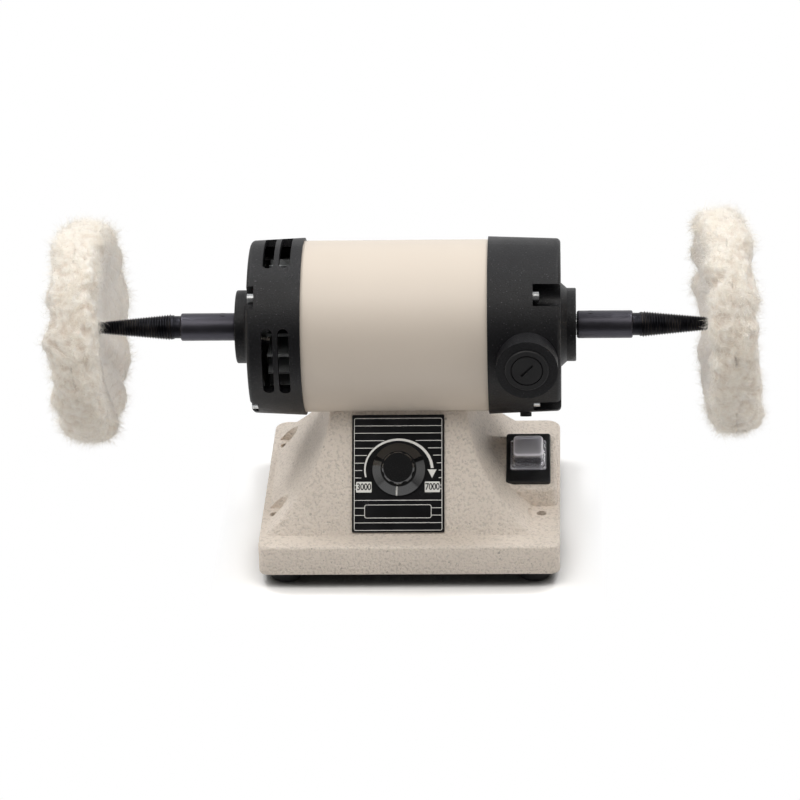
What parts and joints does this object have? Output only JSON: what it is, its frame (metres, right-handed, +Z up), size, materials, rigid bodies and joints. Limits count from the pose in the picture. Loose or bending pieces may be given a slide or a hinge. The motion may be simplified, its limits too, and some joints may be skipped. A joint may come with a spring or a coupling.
{
  "type": "bench polishing lathe",
  "caption": "Double-ended bench polishing lathe: electric motor on a cast pedestal base, with tapered spindles, cotton buffs, a speed knob and a covered rocker switch.",
  "frame": {"origin": "on the bench, under the motor axis, midway between the two buffs", "axes": "+X along the spindle to the user's right, +Y away from the user, +Z up"},
  "size_m": [0.39, 0.156, 0.1874],
  "materials": {
    "base_paint": "coarse textured cream enamel on cast iron",
    "tube_paint": "smooth satin cream enamel",
    "bell_coat": "fine textured black coat on die-cast metal",
    "spindle_steel": "black oxide, lightly oiled",
    "bright_steel": "zinc plated",
    "bearing_steel": "ground and polished",
    "sheet_steel": "zinc plated sheet",
    "lamination_steel": "stacked sheet, varnished",
    "magnet_ferrite": "sintered, dull",
    "copper": "enamelled wire and turned copper",
    "brass": "turned",
    "carbon": "pressed carbon",
    "plate_black": "black gloss print on aluminium",
    "knob_black": "moulded, polished",
    "switch_black": "moulded, satin",
    "clear_boot": "clear soft moulding",
    "black_plastic": "moulded, matt",
    "fan_grey": "moulded, matt",
    "board_green": "solder mask",
    "component_mix": "moulded cases",
    "sink_aluminium": "extruded, mill finish",
    "lead_insulation": "insulated wire",
    "black_rubber": "moulded, matt",
    "cotton": "folded cotton plies, frayed rim"
  },
  "bodies": {
    "stand": {"base_casting": "base_paint", "bottom_cover": "sheet_steel", "cover_screws": "bright_steel", "rubber_feet": "black_rubber", "foot_screws": "bright_steel", "speed_plate": "plate_black", "potentiometer_body": "black_plastic", "potentiometer_nut": "bright_steel", "switch_body": "switch_black", "switch_boot": "clear_boot", "switch_terminals": "brass", "control_board": "board_green", "board_standoffs": "brass", "board_screws": "bright_steel", "board_components": "component_mix", "heat_sink": "sink_aluminium", "motor_leads": "lead_insulation", "lead_grommet": "black_rubber", "saddle_screws": "bright_steel", "cable_gland": "black_plastic", "gland_nut": "black_plastic", "motor_tube": "tube_paint", "field_magnets": "magnet_ferrite", "left_end_bell": "bell_coat", "right_end_bell": "bell_coat", "left_bell_screws": "bright_steel", "right_bell_screws": "bright_steel", "lead_hole_plug": "black_rubber", "left_bearing_outer_ring": "bearing_steel", "right_bearing_outer_ring": "bearing_steel", "wave_washer": "bright_steel", "brush_holders": "black_plastic", "carbon_brushes": "carbon", "brush_springs": "bright_steel", "brush_caps": "black_plastic"},
    "rotor": {"rotor_shaft": "bright_steel", "armature_core": "lamination_steel", "armature_winding": "copper", "commutator": "copper", "cooling_fan": "fan_grey", "left_bearing_inner_ring": "bearing_steel", "right_bearing_inner_ring": "bearing_steel", "left_taper_spindle": "spindle_steel", "right_taper_spindle": "spindle_steel", "grub_screws": "spindle_steel", "left_buff_wheel": "cotton", "right_buff_wheel": "cotton"},
    "bearing_cages": {"left_bearing_balls": "bearing_steel", "right_bearing_balls": "bearing_steel", "left_bearing_cage": "sheet_steel", "right_bearing_cage": "sheet_steel"},
    "knob": {"speed_knob": "knob_black", "potentiometer_shaft": "bright_steel"},
    "rocker": {"switch_rocker": "switch_black"}
  },
  "joints": [
    {"name": "rotor_spin", "type": "hinge", "parent": "stand", "child": "rotor", "pos_m": [0, 0, 0.1249], "axis": [1, 0, 0], "continuous": true},
    {"name": "cage_spin", "type": "hinge", "parent": "stand", "child": "bearing_cages", "pos_m": [0, 0, 0.1249], "axis": [1, 0, 0], "continuous": true},
    {"name": "knob_turn", "type": "hinge", "parent": "stand", "child": "knob", "pos_m": [-0.0042, -0.04383, 0.05659], "axis": [0, 0.829, -0.5592], "range_deg": [0, 300]},
    {"name": "rocker_tilt", "type": "hinge", "parent": "stand", "child": "rocker", "pos_m": [0.0676, -0.01054, 0.04702], "axis": [1, 0, 0], "range_deg": [0, 20]}
  ],
  "couplings": [
    {"joint": "cage_spin", "follows": "rotor_spin", "ratio": 0.3955}
  ]
}
